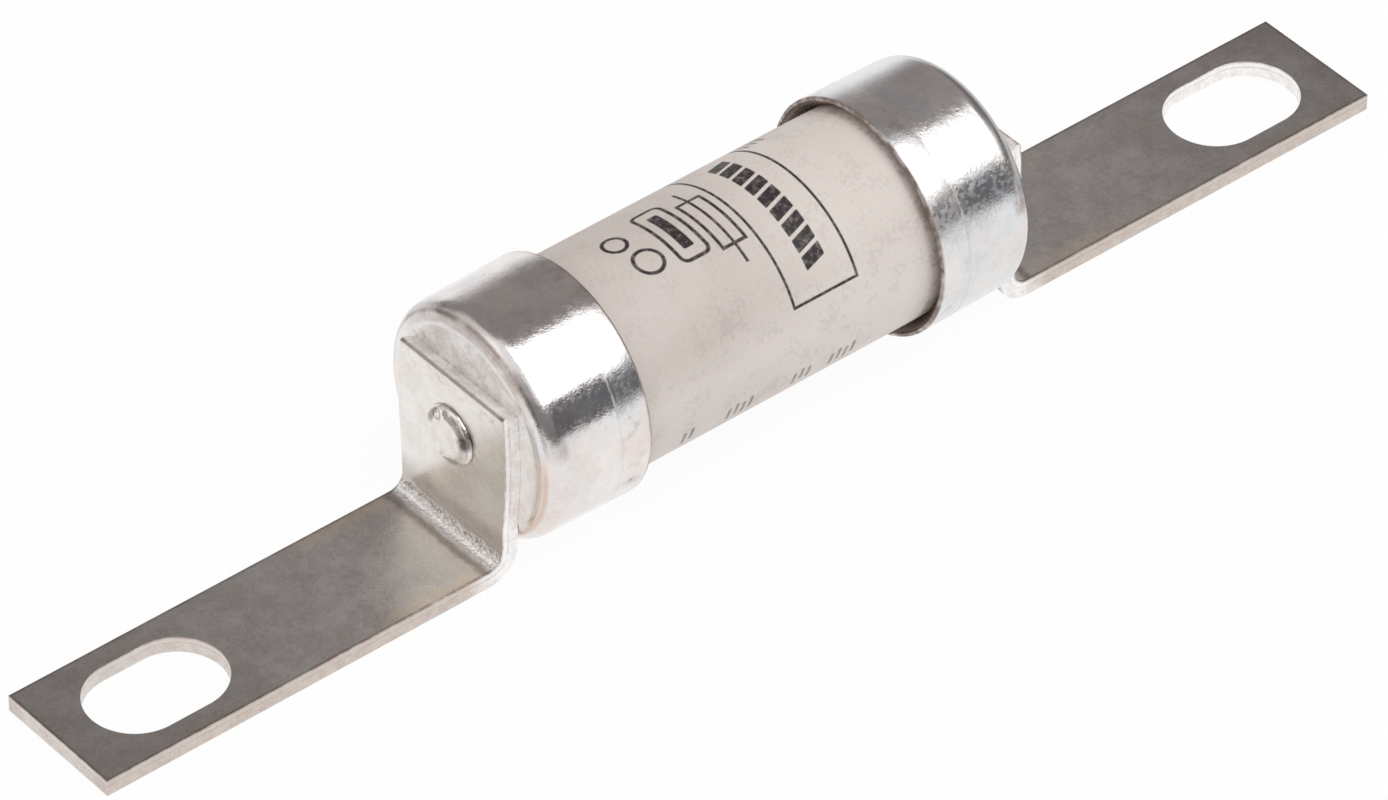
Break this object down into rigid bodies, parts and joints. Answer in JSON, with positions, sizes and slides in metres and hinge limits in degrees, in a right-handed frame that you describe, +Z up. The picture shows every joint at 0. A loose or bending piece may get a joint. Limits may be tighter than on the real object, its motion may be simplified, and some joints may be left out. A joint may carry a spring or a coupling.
{
  "type": "fuse",
  "caption": "Cartridge fuse link: a ceramic barrel with drawn metal end caps and folded flat tags with bolt slots, round a notched element in quartz sand.",
  "frame": {"origin": "middle of the link, on the plane of the tags' undersides", "axes": "+X along the barrel from the left tag to the right tag, +Z up from the tags' undersides to the barrel"},
  "size_m": [0.0854, 0.0138, 0.014],
  "materials": {
    "barrel_ceramic": "satin",
    "tinned_cap": "gloss",
    "tinned_tag": "satin",
    "rivet_metal": "satin",
    "disc_brass": "satin",
    "washer_fibre": "matte",
    "solder": "satin",
    "element_silver": "gloss",
    "tin": "satin",
    "quartz_sand": "matte"
  },
  "bodies": {
    "root": {"ceramic_body": "barrel_ceramic", "fuse_element": "element_silver", "tin_spot": "tin", "quartz_filler": "quartz_sand", "end_cap_left": "tinned_cap", "tag_left": "tinned_tag", "rivet_left": "rivet_metal", "sealing_washer_left": "washer_fibre", "contact_disc_left": "disc_brass", "solder_ring_left": "solder", "end_cap_right": "tinned_cap", "tag_right": "tinned_tag", "rivet_right": "rivet_metal", "sealing_washer_right": "washer_fibre", "contact_disc_right": "disc_brass", "solder_ring_right": "solder"}
  },
  "joints": []
}
